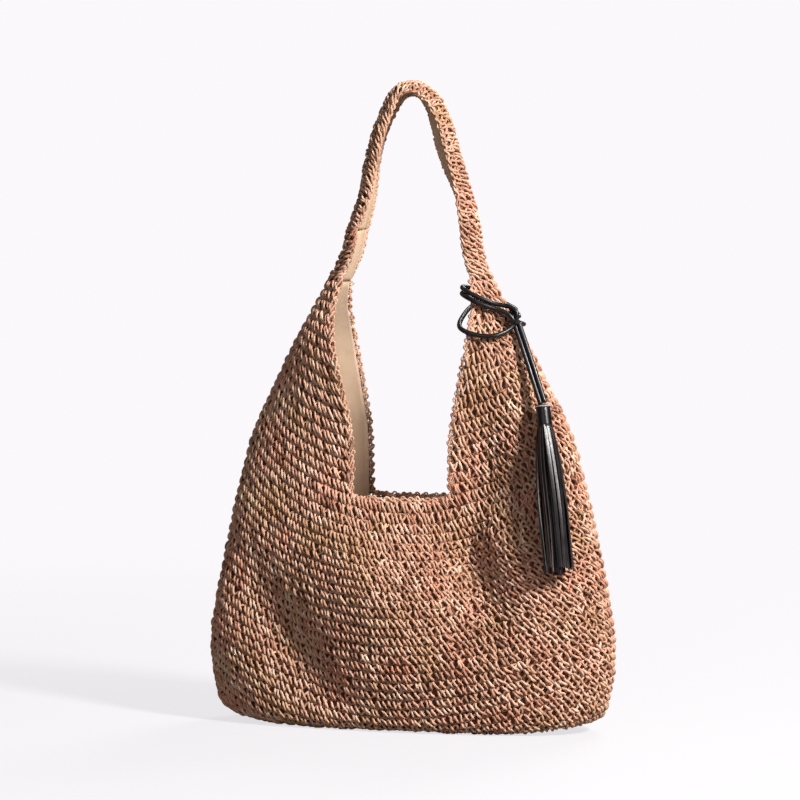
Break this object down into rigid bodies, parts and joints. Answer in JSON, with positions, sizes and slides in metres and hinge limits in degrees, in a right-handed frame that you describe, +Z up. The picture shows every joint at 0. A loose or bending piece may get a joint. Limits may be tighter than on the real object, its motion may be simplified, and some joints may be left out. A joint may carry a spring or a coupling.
{
  "type": "crocheted hobo shoulder bag",
  "caption": "Hand-crocheted straw hobo bag: oval base, wall rising into two wings and one channel strap, cotton lining, leather thong hitched round one wing with a fringed tassel.",
  "frame": {"origin": "on the floor plane, under the middle of the base, at the base's flat resting face", "axes": "+X along the bag's width, towards the wing that carries the tassel; -Y is the front; +Z is up, towards the strap"},
  "size_m": [0.417, 0.1429, 0.6435],
  "materials": {
    "straw": "crocheted paper straw",
    "cotton_lining": "plain woven cotton",
    "zip_tape": "woven tape",
    "black_leather": "smooth, semi-gloss",
    "waxed_thread": "waxed thread",
    "antique_brass": "aged, satin"
  },
  "bodies": {
    "bag": {"crochet_base": "straw", "crochet_body": "straw", "strap_root_left": "straw", "strap_root_right": "straw", "edging_mouth_front": "straw", "edging_mouth_back": "straw", "lining_base": "cotton_lining", "lining_body": "cotton_lining", "slip_pocket": "cotton_lining", "zip_pouch": "cotton_lining", "snap_tab_front": "cotton_lining", "snap_tab_back": "cotton_lining", "zip_tape_upper": "zip_tape", "zip_tape_lower": "zip_tape", "thong_loop_upper": "black_leather", "thong_loop_middle": "black_leather", "thong_loop_lower": "black_leather", "thong_knot": "black_leather", "zip_coil": "antique_brass", "snap_stud": "antique_brass", "snap_socket": "antique_brass"},
    "strap": {"crochet_strap": "straw", "lining_strap": "cotton_lining", "edging_strap_front": "straw", "edging_strap_back": "straw"},
    "thong": {"thong_strand_left": "black_leather", "thong_strand_right": "black_leather"},
    "tassel": {"tassel_thread": "waxed_thread", "tassel_cap": "black_leather", "tassel_skirt": "black_leather"},
    "slider": {"zip_slider": "antique_brass"},
    "pull": {"zip_pull": "antique_brass"}
  },
  "joints": [
    {"name": "strap_fold", "type": "hinge", "parent": "bag", "child": "strap", "pos_m": [0, 0, 0.47], "axis": [1, 0, 0], "range_deg": [-90, 90], "deforming": ["strap_root_left", "strap_root_right"]},
    {"name": "thong_swing", "type": "hinge", "parent": "bag", "child": "thong", "pos_m": [0.111, -0.017, 0.4], "axis": [-1, 0, 0], "range_deg": [0, 75], "deforming": ["thong_strand_left", "thong_strand_right"]},
    {"name": "tassel_sway", "type": "hinge", "parent": "thong", "child": "tassel", "pos_m": [0.144, -0.0335, 0.323], "axis": [0, 1, 0], "range_deg": [-20, 8]},
    {"name": "zip_slide", "type": "slide", "parent": "bag", "child": "slider", "axis": [1, 0, 0], "range_m": [0, 0.124]},
    {"name": "pull_flip", "type": "hinge", "parent": "slider", "child": "pull", "pos_m": [-0.062, 0.0233, 0.1725], "axis": [-1, 0, 0], "range_deg": [0, 110]}
  ]
}
